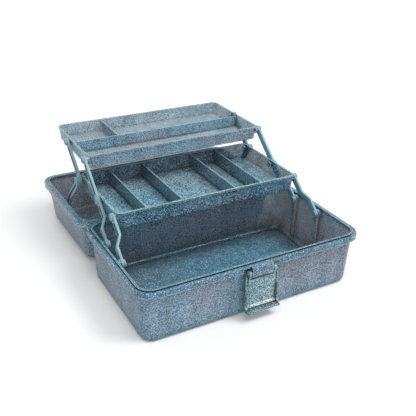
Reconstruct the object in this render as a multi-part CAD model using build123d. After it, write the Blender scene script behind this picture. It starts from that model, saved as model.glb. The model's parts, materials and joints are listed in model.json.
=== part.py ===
from build123d import *
import os
from math import asin, atan2, cos, degrees, hypot, radians, sin

# Craft caddy: a hinged case with two trays that rise on cantilever arms.
# Millimetres, +Z up, +X to the right seen from the front, front towards -Y.
# The origin is the centre of the base's underside. The case is modelled open.

# Case
CASE_WIDTH = 340.0        # over the rims, side to side
CASE_DEPTH = 200.0        # over the rims, front to back
CASE_CORNER = 25.0        # plan radius of the rims
BASE_HEIGHT = 81.0        # underside to the top of the rim bead
CASE_WALL = 2.2
CASE_FLOOR = 2.4
BASE_EDGE_RADIUS = 8.0    # round between the walls and the bottom
RIM_OVERHANG = 6.0        # how far the rim stands out from the wall
RIM_HEIGHT = 9.0
RIM_SKIN = 2.0
RIM_ROUND = 1.2
BEAD_WIDTH = 2.6          # raised bead round the mouth of the base
BEAD_HEIGHT = 1.5
BASE_DRAFT = 3.6          # how much narrower each side is at the bottom
LID_DRAFT = 6.0           # the same for the lid, up to its top panel
LID_GAP = 0.3             # between the two rims when shut
LID_EDGE_RADIUS = 7.0

# Lid hinge, at the back
HINGE_DROP = 3.6          # axis below the top of the base
HINGE_SETBACK = 5.5       # axis behind the back rim
HINGE_BARREL_RADIUS = 4.2
HINGE_PIN_RADIUS = 1.75
HINGE_OFFSET = 98.0       # centre of each hinge from the middle
KNUCKLE_LENGTH = 13.0
KNUCKLE_GAP = 0.4
LID_OPEN_ANGLE = 182.0    # shut to open, lying on its top edge behind the base
FLOOR_CLEARANCE = 0.2     # under the lid's far edge when open

# Arm linkage
BASE_PIVOT_FRONT = 90.0   # from the front of the case to the front pivot
BASE_PIVOT_DROP = 8.2     # the two base pivots below the top of the base
PIVOT_SPACING = 55.0      # front pivot to rear pivot, the same on base and trays
ARM_LENGTH = 65.0         # pivot to pivot, and each half of the long arm
ARM_OPEN_ANGLE = 40.5     # above the horizontal, leaning back
REAR_PIVOT_SPACING = 76.0  # from the long arm's pivot back to the rear arm's, on both trays
ARM_WIDTH = 10.0
ARM_THICKNESS = 3.2
ARM_END_RADIUS = 5.4
ARM_GROOVE_WIDTH = 4.8
ARM_GROOVE_DEPTH = 1.8
ARM_GROOVE_END = 8.5      # pivot centre to the end of the groove
JOG_START = 22.5          # from the base pivot to the start of the sideways jog
JOG_LENGTH = 14.5
JOG_SPACE = 2.4           # added to what the jog needs to clear the pin heads

# Pivot pins
PIN_RADIUS = 2.5
PIN_HEAD_RADIUS = 5.2
PIN_HEAD = 2.0
RUNNING_CLEARANCE = 0.05  # radial, between a pin and what turns on it
SEAT_CLEARANCE = 0.01     # radial, between a pin and the hole it is pressed into
SIDE_CLEARANCE = 0.3      # between flat faces that slide past each other
PIN_SEAT = 5.2            # how deep a pin sits in its boss
BOSS_SKIN = 1.2           # behind the end of a pin

# Trays
TRAY_SIDE_SPACE = 26.4    # from the outside of the rims in to each side of a tray
TRAY_WALL = 1.8
TRAY_FLOOR = 1.8
TRAY_DRAFT = 1.4
TRAY_CORNER = 10.0
TRAY_LIP = 1.1
TRAY_LIP_HEIGHT = 2.6
TRAY_EDGE_RADIUS = 3.0
TRAY_BOSS_RADIUS = 6.0
TRAY_BOSS_STANDOUT = 0.5
DIVIDER_THICKNESS = 1.6
DIVIDER_DROP = 1.5        # divider tops below the tray rim
LOWER_TRAY_FRONT = 130.0  # from the front of the case, open
LOWER_TRAY_DEPTH = 148.0
LOWER_TRAY_HEIGHT = 25.5
LOWER_PIVOT_DROP = 7.0    # pivot below the tray rim
LOWER_DIVIDERS = (-0.69, -0.31, 0.28, 0.585)  # as shares of half the width
UPPER_TRAY_FRONT = 237.5
UPPER_TRAY_DEPTH = 143.0
UPPER_TRAY_HEIGHT = 21.5
UPPER_PIVOT_DROP = 6.5
UPPER_ROW_DIVIDER = 64.0  # from the tray's front to the long divider
UPPER_CROSS_DIVIDER = -0.495

# Lid link
LINK_LID_FRONT = 322.0    # lid end of the link, open, from the front of the case
LINK_LID_DROP = 27.4      # the same point below the lid hinge
LINK_JOG_START = 38.0     # from the lid pivot to the start of the sideways jog
LINK_JOG_LENGTH = 26.0
LINK_JOG = 4.1            # how far the link steps outwards towards the lid's wall

# Posts inside the base
POST_RADIUS = 6.5
POST_RIB_WIDTH = 9.0
POST_RIB_SETBACK = 0.2

# Latch, hanging open
LATCH_WIDTH = 49.0
LATCH_THICKNESS = 2.2
LATCH_AXIS_STANDOUT = 1.8  # pin axis in front of the rims
LATCH_AXIS_DROP = 10.8    # pin axis below the top of the base
LATCH_PIN_RADIUS = 1.6
LATCH_EAR_RADIUS = 3.9
LATCH_EAR_THICKNESS = 4.0
LATCH_EAR_GAP = 1.6       # between the knuckle block and each ear
LATCH_SLOT = 1.2          # between each ear and the shoulder outside it
LATCH_SLOT_DROP = 18.2    # bottom of the slots below the pin axis
LATCH_SHOULDER_DROP = 4.0  # tops of the shoulders below the pin axis
LATCH_PLATE_TOP = 9.3     # plate edge between the ears, below the pin axis
LATCH_PLATE_STANDOUT = 3.0  # plate's front face in front of the rims
LATCH_HOOK_DROP = 52.5    # catching face below the pin axis
LATCH_HOOK_THICKNESS = 3.2
LATCH_HOOK_REACH = 10.0   # hook's stand-out from the plate's front face
LATCH_RIDGE = 2.0         # stand-out of the ridge above the catching face
LATCH_RIDGE_HEIGHT = 2.4
LATCH_RIDGE_SLOPE = 2.6
LATCH_FLANGE_DROP = 20.7  # tops of the side flanges below the pin axis
LATCH_FLANGE_DEPTH = 4.7
BLOCK_WIDTH = 31.0        # knuckle block between the ears
BLOCK_BELOW = 6.2
BLOCK_ABOVE = 9.0
BLOCK_STANDOUT = 2.6      # in front of the pin axis
BLOCK_ROUND = 0.8
BAY_MARGIN = 3.0          # open rim beyond each side of the latch
CATCH_WIDTH = 30.0
CATCH_HEIGHT = 14.0
CATCH_CHAMFER = 3.0       # under the catch

# Carrying handle in the lid's top
RECESS_BACK = -13.0       # its back wall, from the middle of the lid
RECESS_WIDTH = 53.0       # front to back
RECESS_WALL = 2.0
RECESS_DEPTH = 12.0       # under the grip
RECESS_SHALLOW = 7.5      # under the pivot, where the upper tray swings past
RECESS_STEP = 13.0        # from the back wall to where the floor starts to drop
RECESS_SLOPE = 12.0       # how long the floor takes to drop
RECESS_MARGIN = 3.5       # from each end of the handle to the end wall
RECESS_CORNER = 3.0
HANDLE_SPAN = 124.0       # over the two legs
HANDLE_LEG = 8.0
HANDLE_REACH = 30.0       # pivot axis to the middle of the grip
HANDLE_GRIP_WIDTH = 13.0
HANDLE_THICKNESS = 6.0
HANDLE_PIN_RADIUS = 1.8
HANDLE_PIN_SEAT = 5.0
HANDLE_EYE_RADIUS = 3.4
HANDLE_CLEARANCE = 0.6    # round the eyes, in the recess

CUT_MARGIN = 1.0          # how far a shape that cuts reaches past what it cuts

# Values that follow from those above
FRONT = -CASE_DEPTH / 2
BACK = CASE_DEPTH / 2
HALF_WIDTH = CASE_WIDTH / 2
HINGE_Y = BACK + HINGE_SETBACK
HINGE_HEIGHT = BASE_HEIGHT - HINGE_DROP
BASE_PIVOT_HEIGHT = BASE_HEIGHT - BASE_PIVOT_DROP
LINK_LID_HEIGHT = HINGE_HEIGHT - LINK_LID_DROP
TRAY_HALF_WIDTH = HALF_WIDTH - TRAY_SIDE_SPACE
LID_RIM = BASE_HEIGHT + LID_GAP
TILT = radians(LID_OPEN_ANGLE - 180)
# The open lid leans on the edge where its top panel meets its front wall
LID_LEAN_REACH = HINGE_SETBACK + CASE_DEPTH - RIM_OVERHANG - LID_DRAFT - LID_EDGE_RADIUS
LID_TOP_DROP = (HINGE_HEIGHT - FLOOR_CLEARANCE - LID_LEAN_REACH * sin(TILT)) / cos(TILT)
LID_TOP = HINGE_HEIGHT + LID_TOP_DROP
LID_HEIGHT = LID_TOP - LID_RIM

JOG_END = JOG_START + JOG_LENGTH
ARM_RISE = ARM_LENGTH * sin(radians(ARM_OPEN_ANGLE))
ARM_RUN = ARM_LENGTH * cos(radians(ARM_OPEN_ANGLE))
BASE_FRONT_PIVOT = (FRONT + BASE_PIVOT_FRONT, BASE_PIVOT_HEIGHT)
BASE_REAR_PIVOT = (BASE_FRONT_PIVOT[0] + PIVOT_SPACING, BASE_PIVOT_HEIGHT)
LOWER_FRONT_PIVOT = (BASE_FRONT_PIVOT[0] + ARM_RUN, BASE_PIVOT_HEIGHT + ARM_RISE)
LOWER_MIDDLE_PIVOT = (LOWER_FRONT_PIVOT[0] + PIVOT_SPACING, LOWER_FRONT_PIVOT[1])
LOWER_REAR_PIVOT = (LOWER_MIDDLE_PIVOT[0] + REAR_PIVOT_SPACING, LOWER_MIDDLE_PIVOT[1])
UPPER_FRONT_PIVOT = (LOWER_MIDDLE_PIVOT[0] + ARM_RUN, LOWER_MIDDLE_PIVOT[1] + ARM_RISE)
UPPER_REAR_PIVOT = (UPPER_FRONT_PIVOT[0] + REAR_PIVOT_SPACING, UPPER_FRONT_PIVOT[1])
LINK_LID_PIVOT = (FRONT + LINK_LID_FRONT, LINK_LID_HEIGHT)
LOWER_TRAY_TOP = LOWER_FRONT_PIVOT[1] + LOWER_PIVOT_DROP
UPPER_TRAY_TOP = UPPER_FRONT_PIVOT[1] + UPPER_PIVOT_DROP

# Sideways stack beside the trays: bosses, inner plane of arms, pin heads, outer plane, posts
BOSS_FACE = TRAY_HALF_WIDTH + TRAY_BOSS_STANDOUT
INNER_PLANE = BOSS_FACE + SIDE_CLEARANCE
TRAY_HEAD_FACE = INNER_PLANE + ARM_THICKNESS + SIDE_CLEARANCE
OUTER_PLANE = TRAY_HEAD_FACE + PIN_HEAD + 2 * SIDE_CLEARANCE + JOG_SPACE
POST_FACE = OUTER_PLANE + ARM_THICKNESS + SIDE_CLEARANCE
LINK_TRAY_PLANE = TRAY_HEAD_FACE
LINK_LID_PLANE = LINK_TRAY_PLANE + LINK_JOG
LINK_BOSS_FACE = LINK_LID_PLANE + ARM_THICKNESS + SIDE_CLEARANCE
LINK_HEAD_FACE = LINK_TRAY_PLANE + ARM_THICKNESS + SIDE_CLEARANCE

LATCH_AXIS_Y = FRONT - LATCH_AXIS_STANDOUT
LATCH_AXIS_HEIGHT = BASE_HEIGHT - LATCH_AXIS_DROP
LATCH_EAR_INNER = BLOCK_WIDTH / 2 + LATCH_EAR_GAP
LATCH_EAR_OUTER = LATCH_EAR_INNER + LATCH_EAR_THICKNESS
HANDLE_AXIS_Y = RECESS_BACK - HANDLE_EYE_RADIUS - HANDLE_CLEARANCE
HANDLE_AXIS_Z = LID_TOP - HANDLE_EYE_RADIUS - SIDE_CLEARANCE
RECESS_END = HANDLE_SPAN / 2 + RECESS_MARGIN


def rounded_plate(width, depth, corner, low, high):
    """A flat slab with rounded corners, between two heights."""
    sketch = Plane.XY.offset(low) * RectangleRounded(width, depth, corner)
    return extrude(sketch, high - low)


def tapered_block(width, depth, corner, inset, low, high, edge_radius):
    """A block that narrows by inset a side towards its bottom, with a rounded bottom edge."""
    bottom = Plane.XY.offset(low) * RectangleRounded(
        width - 2 * inset, depth - 2 * inset, max(corner - inset / 2, edge_radius + CUT_MARGIN))
    top = Plane.XY.offset(high) * RectangleRounded(width, depth, corner)
    block = loft([bottom, top], ruled=True)
    return fillet(block.faces().sort_by(Axis.Z)[0].edges(), edge_radius)


def bar_along_x(centre, radius, start, end):
    """A round bar parallel to X, centred on a (y, z) point."""
    plane = Plane(origin=(start, centre[0], centre[1]), x_dir=(0, 1, 0), z_dir=(1, 0, 0))
    return extrude(plane * Circle(radius), end - start)


def slab_along_x(points, start, end):
    """A prism parallel to X with a polygon of (y, z) points as its section."""
    plane = Plane(origin=(start, 0, 0), x_dir=(0, 1, 0), z_dir=(1, 0, 0))
    outline = make_face(Polyline(*points, close=True))
    return extrude(plane * outline, end - start)


def block(low, high):
    """An upright box given by two opposite corners."""
    size = [h - l for l, h in zip(low, high)]
    middle = [(h + l) / 2 for l, h in zip(low, high)]
    return Pos(*middle) * Box(*size)


def both_sides(piece):
    """The right-hand piece and its mirror image on the left."""
    return [piece, mirror(piece, Plane.YZ)]


def case_shell(height, draft, edge_radius, bead):
    """An open bin standing at height 0, with a stepped, hollow rim round its mouth."""
    wall_width = CASE_WIDTH - 2 * RIM_OVERHANG
    wall_depth = CASE_DEPTH - 2 * RIM_OVERHANG
    wall_corner = CASE_CORNER - RIM_OVERHANG
    shell = tapered_block(wall_width, wall_depth, wall_corner, draft, 0, height - bead, edge_radius)
    shoulder = height - bead
    rim = rounded_plate(CASE_WIDTH, CASE_DEPTH, CASE_CORNER, height - RIM_HEIGHT, shoulder)
    rim = fillet(rim.faces().sort_by(Axis.Z)[-1].edges(), RIM_ROUND)
    under = rounded_plate(CASE_WIDTH - 2 * RIM_SKIN, CASE_DEPTH - 2 * RIM_SKIN, CASE_CORNER - RIM_SKIN,
                          height - RIM_HEIGHT - CUT_MARGIN, shoulder - RIM_SKIN)
    shell += rim - under
    if bead > 0:
        shell += rounded_plate(wall_width + 2 * (BEAD_WIDTH - CASE_WALL),
                               wall_depth + 2 * (BEAD_WIDTH - CASE_WALL),
                               wall_corner + BEAD_WIDTH - CASE_WALL, shoulder - RIM_SKIN, height)
    slope = draft / height
    over = slope * CUT_MARGIN
    hollow = tapered_block(wall_width - 2 * CASE_WALL + 2 * over, wall_depth - 2 * CASE_WALL + 2 * over,
                           wall_corner - CASE_WALL, draft - slope * CASE_FLOOR + over,
                           CASE_FLOOR, height + CUT_MARGIN, edge_radius - CASE_WALL)
    return shell - hollow


def knuckles(offsets, web_points):
    """Hinge barrels at the given places along X, each on a web with the given section."""
    result = []
    for side in (-1, 1):
        for offset in offsets:
            start = side * HINGE_OFFSET + offset - KNUCKLE_LENGTH / 2
            end = start + KNUCKLE_LENGTH
            result.append(bar_along_x((HINGE_Y, HINGE_HEIGHT), HINGE_BARREL_RADIUS, start, end)
                          + slab_along_x(web_points, start, end))
    return result


def hinge_bores(clearance):
    reach = 2 * KNUCKLE_LENGTH
    return [bar_along_x((HINGE_Y, HINGE_HEIGHT), HINGE_PIN_RADIUS + clearance,
                        side * HINGE_OFFSET - reach, side * HINGE_OFFSET + reach) for side in (-1, 1)]


def open_pose(piece):
    """Carry a lid piece from its shut place to its open one."""
    axis = Axis((0, HINGE_Y, HINGE_HEIGHT), (1, 0, 0))
    return piece.rotate(axis, -LID_OPEN_ANGLE)


def shut_place(point):
    """Where a (y, z) point of the open lid is when the lid is shut."""
    angle = radians(LID_OPEN_ANGLE)
    y, z = point[0] - HINGE_Y, point[1] - HINGE_HEIGHT
    return (HINGE_Y + y * cos(angle) - z * sin(angle), HINGE_HEIGHT + y * sin(angle) + z * cos(angle))


def pin_post(pivot):
    """The boss and rib inside the right wall of the base that carry one arm pivot."""
    outer = HALF_WIDTH - RIM_OVERHANG - CASE_WALL / 2 - BASE_DRAFT * 0.1
    boss = bar_along_x(pivot, POST_RADIUS, POST_FACE, outer)
    foot = HALF_WIDTH - RIM_OVERHANG - CASE_WALL - BASE_DRAFT - BASE_EDGE_RADIUS / 2
    rib = slab_along_x([(pivot[0] - POST_RIB_WIDTH / 2, pivot[1]), (pivot[0] + POST_RIB_WIDTH / 2, pivot[1]),
                        (pivot[0] + POST_RIB_WIDTH / 2, CASE_FLOOR / 2),
                        (pivot[0] - POST_RIB_WIDTH / 2, CASE_FLOOR / 2)],
                       POST_FACE + POST_RIB_SETBACK, outer)
    mid_wall = 2 * RIM_OVERHANG + CASE_WALL
    inside = tapered_block(CASE_WIDTH - mid_wall, CASE_DEPTH - mid_wall,
                           CASE_CORNER - RIM_OVERHANG - CASE_WALL / 2, BASE_DRAFT, CASE_FLOOR / 2,
                           BASE_HEIGHT, BASE_EDGE_RADIUS - CASE_WALL / 2)
    hole = bar_along_x(pivot, PIN_RADIUS + SEAT_CLEARANCE, POST_FACE - CUT_MARGIN, POST_FACE + PIN_SEAT)
    return ((boss + rib) & inside) - hole


def base_bin():
    shell = case_shell(BASE_HEIGHT, BASE_DRAFT, BASE_EDGE_RADIUS, BEAD_HEIGHT)
    for pivot in (BASE_FRONT_PIVOT, BASE_REAR_PIVOT):
        for post in both_sides(pin_post(pivot)):
            shell += post
    web = [(BACK - RIM_SKIN / 2, BASE_HEIGHT - RIM_HEIGHT),
           (BACK - RIM_SKIN / 2, BASE_HEIGHT - BEAD_HEIGHT - RIM_ROUND),
           (HINGE_Y, HINGE_HEIGHT + HINGE_BARREL_RADIUS), (HINGE_Y, HINGE_HEIGHT - HINGE_BARREL_RADIUS)]
    step = KNUCKLE_LENGTH + KNUCKLE_GAP
    for knuckle in knuckles((-step, step), web):
        shell += knuckle
    for bore in hinge_bores(SEAT_CLEARANCE):
        shell -= bore
    return latch_bay(shell)


def latch_bay(shell):
    """Open the front rim round the latch and add the block that holds its pin."""
    half_bay = LATCH_WIDTH / 2 + BAY_MARGIN
    opening = block((-half_bay, FRONT - CUT_MARGIN, BASE_HEIGHT - RIM_HEIGHT - CUT_MARGIN),
                    (half_bay, FRONT + RIM_OVERHANG - RIM_SKIN, BASE_HEIGHT - BEAD_HEIGHT - RIM_SKIN))
    shell -= opening
    knuckle = block((-BLOCK_WIDTH / 2, LATCH_AXIS_Y - BLOCK_STANDOUT, LATCH_AXIS_HEIGHT - BLOCK_BELOW),
                    (BLOCK_WIDTH / 2, FRONT + RIM_OVERHANG + CASE_WALL, LATCH_AXIS_HEIGHT + BLOCK_ABOVE))
    knuckle = fillet(knuckle.edges().filter_by(Axis.X).group_by(Axis.Y)[0], BLOCK_ROUND)
    bore = bar_along_x((LATCH_AXIS_Y, LATCH_AXIS_HEIGHT), LATCH_PIN_RADIUS + SEAT_CLEARANCE,
                       -BLOCK_WIDTH, BLOCK_WIDTH)
    return shell + knuckle - case_hollow_front() - bore


def case_hollow_front():
    """Keeps the knuckle block out of the bin: the inside of the front wall beside it."""
    inner = FRONT + RIM_OVERHANG + CASE_WALL
    slope = BASE_DRAFT / BASE_HEIGHT
    low, high = LATCH_AXIS_HEIGHT - BLOCK_BELOW - CUT_MARGIN, BASE_HEIGHT + CUT_MARGIN
    return slab_along_x([(inner + slope * (BASE_HEIGHT - low), low), (inner, high),
                         (inner + BLOCK_WIDTH, high), (inner + BLOCK_WIDTH, low)],
                        -BLOCK_WIDTH, BLOCK_WIDTH)


def lid_shut():
    """The lid in its shut place, before the hinge opens it."""
    shell = case_shell(LID_HEIGHT, LID_DRAFT, LID_EDGE_RADIUS, 0)
    shell = Pos(0, 0, LID_TOP) * Rot(180, 0, 0) * shell
    rim_top = LID_RIM + RIM_HEIGHT
    web = [(BACK - RIM_SKIN / 2, rim_top), (BACK - RIM_SKIN / 2, LID_RIM + 1.5 * RIM_SKIN),
           (BACK + HINGE_SETBACK - HINGE_BARREL_RADIUS + LID_GAP, HINGE_HEIGHT + RIM_SKIN),
           (HINGE_Y, HINGE_HEIGHT), (HINGE_Y + HINGE_BARREL_RADIUS * 0.9, HINGE_HEIGHT + RIM_SKIN)]
    for knuckle in knuckles((0,), web):
        shell += knuckle
    for bore in hinge_bores(RUNNING_CLEARANCE):
        shell -= bore
    shell = add_recess(shell)
    shell += latch_catch()
    return add_link_bosses(shell)


def recess_floor(drop):
    """The recess in section, front to back, with its floor moved down by drop."""
    top = LID_TOP + CUT_MARGIN
    front = RECESS_BACK - RECESS_WIDTH - drop
    shallow, deep = LID_TOP - RECESS_SHALLOW - drop, LID_TOP - RECESS_DEPTH - drop
    step = RECESS_BACK - RECESS_STEP
    return [(RECESS_BACK + drop, top), (RECESS_BACK + drop, shallow), (step, shallow),
            (step - RECESS_SLOPE, deep), (front, deep), (front, top)]


def add_recess(shell):
    """Sink the handle recess into the top panel, deep under the grip and shallow at the pivot."""
    outer = slab_along_x(recess_floor(RECESS_WALL), -RECESS_END - RECESS_WALL, RECESS_END + RECESS_WALL)
    outer = fillet(outer.edges().filter_by(Axis.Z), RECESS_CORNER)
    hollow = slab_along_x(recess_floor(0), -RECESS_END, RECESS_END)
    under_top = block((-HALF_WIDTH, FRONT, LID_RIM), (HALF_WIDTH, BACK, LID_TOP))
    shell = shell + (outer & under_top) - hollow
    ear_low = LID_TOP - RECESS_SHALLOW - RECESS_WALL / 2
    ear_half = HANDLE_EYE_RADIUS + HANDLE_CLEARANCE / 2
    for ear in both_sides(block((HANDLE_SPAN / 2 + SIDE_CLEARANCE, HANDLE_AXIS_Y - ear_half, ear_low),
                                (RECESS_END + RECESS_WALL / 2, RECESS_BACK + RECESS_WALL / 2,
                                 LID_TOP - RIM_SKIN / 4))):
        shell += ear
    end = HANDLE_SPAN / 2 + SIDE_CLEARANCE + HANDLE_PIN_SEAT
    for seat in both_sides(bar_along_x((HANDLE_AXIS_Y, HANDLE_AXIS_Z), HANDLE_PIN_RADIUS + BOSS_SKIN,
                                       RECESS_END, end + BOSS_SKIN) & under_top):
        shell += seat
    return shell - bar_along_x((HANDLE_AXIS_Y, HANDLE_AXIS_Z), HANDLE_PIN_RADIUS + SEAT_CLEARANCE, -end, end)


def lid_wall(height):
    """How far the lid's wall has drawn in, at a height of the shut lid, to the middle of its thickness."""
    return RIM_OVERHANG + CASE_WALL / 2 + LID_DRAFT * (height - LID_RIM) / LID_HEIGHT


def latch_catch():
    """The lug on the lid's front that the latch hooks over."""
    top = LATCH_AXIS_HEIGHT + LATCH_HOOK_DROP - SIDE_CLEARANCE
    low = top - CATCH_HEIGHT
    front = FRONT - 2 * LATCH_AXIS_STANDOUT + LATCH_PLATE_STANDOUT + LATCH_RIDGE + SIDE_CLEARANCE
    lug = [(FRONT + lid_wall(low), low), (FRONT + lid_wall(top), top), (front, top),
           (front, low + CATCH_CHAMFER), (front + CATCH_CHAMFER, low)]
    return slab_along_x(lug, -CATCH_WIDTH / 2, CATCH_WIDTH / 2)


def add_link_bosses(shell):
    """Pads inside the lid's side walls, just outside the lid ends of the two links."""
    pivot = shut_place(LINK_LID_PIVOT)
    boss = bar_along_x(pivot, POST_RADIUS, LINK_BOSS_FACE, HALF_WIDTH - lid_wall(pivot[1]))
    for piece in both_sides(boss):
        shell += piece
    return shell


def tray(front, depth, height, top, pivots, dividers):
    """A tray between two heights, with pin bosses on its sides and upright dividers."""
    middle = FRONT + front + depth / 2
    width = 2 * TRAY_HALF_WIDTH
    body = tapered_block(width - 2 * TRAY_LIP, depth - 2 * TRAY_LIP, TRAY_CORNER - TRAY_LIP,
                         TRAY_DRAFT, 0, height, TRAY_EDGE_RADIUS)
    body += rounded_plate(width, depth, TRAY_CORNER, height - TRAY_LIP_HEIGHT, height)
    body = Pos(0, middle, top - height) * body
    for pivot in pivots:
        for boss in both_sides(bar_along_x(pivot, TRAY_BOSS_RADIUS, BOSS_FACE - PIN_SEAT, BOSS_FACE)):
            body += boss
    slope = TRAY_DRAFT / height
    over = slope * CUT_MARGIN
    hollow = tapered_block(width - 2 * TRAY_LIP - 2 * TRAY_WALL + 2 * over,
                           depth - 2 * TRAY_LIP - 2 * TRAY_WALL + 2 * over,
                           TRAY_CORNER - TRAY_LIP - TRAY_WALL, TRAY_DRAFT - slope * TRAY_FLOOR + over,
                           TRAY_FLOOR, height + CUT_MARGIN, TRAY_EDGE_RADIUS - TRAY_WALL)
    hollow = Pos(0, middle, top - height) * hollow
    for pivot in pivots:
        for pad in both_sides(bar_along_x(pivot, TRAY_BOSS_RADIUS - BOSS_SKIN,
                                          BOSS_FACE - PIN_SEAT - BOSS_SKIN, BOSS_FACE)):
            hollow -= pad
    body -= hollow
    for wall in dividers:
        body += wall
    for pivot in pivots:
        for hole in both_sides(bar_along_x(pivot, PIN_RADIUS + SEAT_CLEARANCE,
                                           BOSS_FACE - PIN_SEAT, BOSS_FACE + CUT_MARGIN)):
            body -= hole
    return body


def lower_tray():
    low, high = LOWER_TRAY_TOP - LOWER_TRAY_HEIGHT, LOWER_TRAY_TOP
    front = FRONT + LOWER_TRAY_FRONT
    inset = TRAY_LIP + TRAY_WALL / 2
    walls = []
    for share in LOWER_DIVIDERS:
        x = share * TRAY_HALF_WIDTH
        walls.append(slab_along_x([(front + inset, high - DIVIDER_DROP),
                                   (front + LOWER_TRAY_DEPTH - inset, high - DIVIDER_DROP),
                                   (front + LOWER_TRAY_DEPTH - inset - TRAY_DRAFT, low + TRAY_FLOOR / 2),
                                   (front + inset + TRAY_DRAFT, low + TRAY_FLOOR / 2)],
                                  x - DIVIDER_THICKNESS / 2, x + DIVIDER_THICKNESS / 2))
    pivots = (LOWER_FRONT_PIVOT, LOWER_MIDDLE_PIVOT, LOWER_REAR_PIVOT)
    return tray(LOWER_TRAY_FRONT, LOWER_TRAY_DEPTH, LOWER_TRAY_HEIGHT, high, pivots, walls)


def upper_tray():
    low, high = UPPER_TRAY_TOP - UPPER_TRAY_HEIGHT, UPPER_TRAY_TOP
    front = FRONT + UPPER_TRAY_FRONT
    row = front + UPPER_ROW_DIVIDER
    half = TRAY_HALF_WIDTH - TRAY_LIP - TRAY_WALL / 2
    long_wall = make_face(Polyline((-half, high - DIVIDER_DROP), (half, high - DIVIDER_DROP),
                                   (half - TRAY_DRAFT, low + TRAY_FLOOR / 2),
                                   (-half + TRAY_DRAFT, low + TRAY_FLOOR / 2), close=True))
    plane = Plane(origin=(0, row + DIVIDER_THICKNESS / 2, 0), x_dir=(1, 0, 0), z_dir=(0, -1, 0))
    inset = TRAY_LIP + TRAY_WALL / 2
    back = front + UPPER_TRAY_DEPTH - inset
    cross = slab_along_x([(row, high - DIVIDER_DROP), (back, high - DIVIDER_DROP),
                          (back - TRAY_DRAFT, low + TRAY_FLOOR / 2), (row, low + TRAY_FLOOR / 2)],
                         UPPER_CROSS_DIVIDER * TRAY_HALF_WIDTH - DIVIDER_THICKNESS / 2,
                         UPPER_CROSS_DIVIDER * TRAY_HALF_WIDTH + DIVIDER_THICKNESS / 2)
    walls = [extrude(plane * long_wall, DIVIDER_THICKNESS), cross]
    pivots = (UPPER_FRONT_PIVOT, UPPER_REAR_PIVOT)
    return tray(UPPER_TRAY_FRONT, UPPER_TRAY_DEPTH, UPPER_TRAY_HEIGHT, high, pivots, walls)


def arm(start, end, bends, holes, groove_start=0):
    """A flat arm from one (y, z) pivot to another, on the right-hand side.

    bends lists (distance along the arm, inner face) points of its sideways path, and holes the
    distances of its pivots. The grooves between its pivots begin after groove_start.
    """
    length = hypot(end[0] - start[0], end[1] - start[1])
    angle = degrees(atan2(end[1] - start[1], end[0] - start[0]))
    path = [(-ARM_END_RADIUS, bends[0][1])] + list(bends) + [(length + ARM_END_RADIUS, bends[-1][1])]
    outline = path + [(u, w + ARM_THICKNESS) for u, w in reversed(path)]
    side = Plane(origin=(0, ARM_END_RADIUS, 0), x_dir=(1, 0, 0), z_dir=(0, -1, 0))
    strip = extrude(side * make_face(Polyline(*outline, close=True)), 2 * ARM_END_RADIUS)
    low = min(w for _, w in path) - CUT_MARGIN
    high = max(w for _, w in path) + ARM_THICKNESS + CUT_MARGIN
    bar = Plane.XY.offset(low) * (Pos(length / 2, 0) * Rectangle(length, ARM_WIDTH))
    shape = extrude(bar, high - low)
    for distance in holes:
        shape += extrude(Plane.XY.offset(low) * (Pos(distance, 0) * Circle(ARM_END_RADIUS)), high - low)
    body = strip & shape
    for first, second in zip(holes, holes[1:]):
        body -= groove(path, max(first + ARM_GROOVE_END, groove_start), second - ARM_GROOVE_END)
    for distance in holes:
        body -= extrude(Plane.XY.offset(low) * (Pos(distance, 0) * Circle(PIN_RADIUS + RUNNING_CLEARANCE)),
                        high - low)
    place = Plane(origin=(0, start[0], start[1]), x_dir=(0, cos(radians(angle)), sin(radians(angle))),
                  z_dir=(1, 0, 0))
    return place * body


def groove(path, near, far):
    """The sunk channel along an arm's outer face, between two distances from its first pivot."""
    top = [(u, w + ARM_THICKNESS - ARM_GROOVE_DEPTH) for u, w in path]
    above = [(u, w + ARM_THICKNESS + CUT_MARGIN) for u, w in reversed(path)]
    side = Plane(origin=(0, ARM_GROOVE_WIDTH / 2, 0), x_dir=(1, 0, 0), z_dir=(0, -1, 0))
    channel = extrude(side * make_face(Polyline(*(top + above), close=True)), ARM_GROOVE_WIDTH)
    window = Plane.XY.offset(0) * (Pos((near + far) / 2, 0) * SlotOverall(far - near, ARM_GROOVE_WIDTH))
    return channel & extrude(window, 2 * HALF_WIDTH)


def jogged_path(length):
    """From the outer plane at the base to the inner plane beside the trays."""
    return [(JOG_START, OUTER_PLANE), (JOG_END, INNER_PLANE), (length, INNER_PLANE)]


def front_arm():
    return arm(BASE_FRONT_PIVOT, LOWER_FRONT_PIVOT, jogged_path(ARM_LENGTH), (0, ARM_LENGTH), JOG_END)


def long_arm():
    return arm(BASE_REAR_PIVOT, UPPER_FRONT_PIVOT, jogged_path(2 * ARM_LENGTH),
               (0, ARM_LENGTH, 2 * ARM_LENGTH), JOG_END)


def rear_arm():
    return arm(LOWER_REAR_PIVOT, UPPER_REAR_PIVOT, [(0, INNER_PLANE), (ARM_LENGTH, INNER_PLANE)],
               (0, ARM_LENGTH))


def lid_link():
    run, rise = (LOWER_REAR_PIVOT[i] - LINK_LID_PIVOT[i] for i in (0, 1))
    length = hypot(run, rise)
    bends = [(LINK_JOG_START, LINK_LID_PLANE), (LINK_JOG_START + LINK_JOG_LENGTH, LINK_TRAY_PLANE),
             (length, LINK_TRAY_PLANE)]
    return arm(LINK_LID_PIVOT, LOWER_REAR_PIVOT, bends, (0, length))


def pin(pivot, tip, head_near, head_far):
    """A headed pin: its shaft runs from the tip to the head."""
    near, far = min(head_near, head_far), max(head_near, head_far)
    head = bar_along_x(pivot, PIN_HEAD_RADIUS, near, far)
    outer = head.faces().sort_by(Axis.X)[-1 if head_far > head_near else 0]
    head = fillet(outer.edges(), PIN_HEAD * 0.6)
    shaft = bar_along_x(pivot, PIN_RADIUS, min(tip, near), max(tip, near))
    return head + shaft


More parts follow.
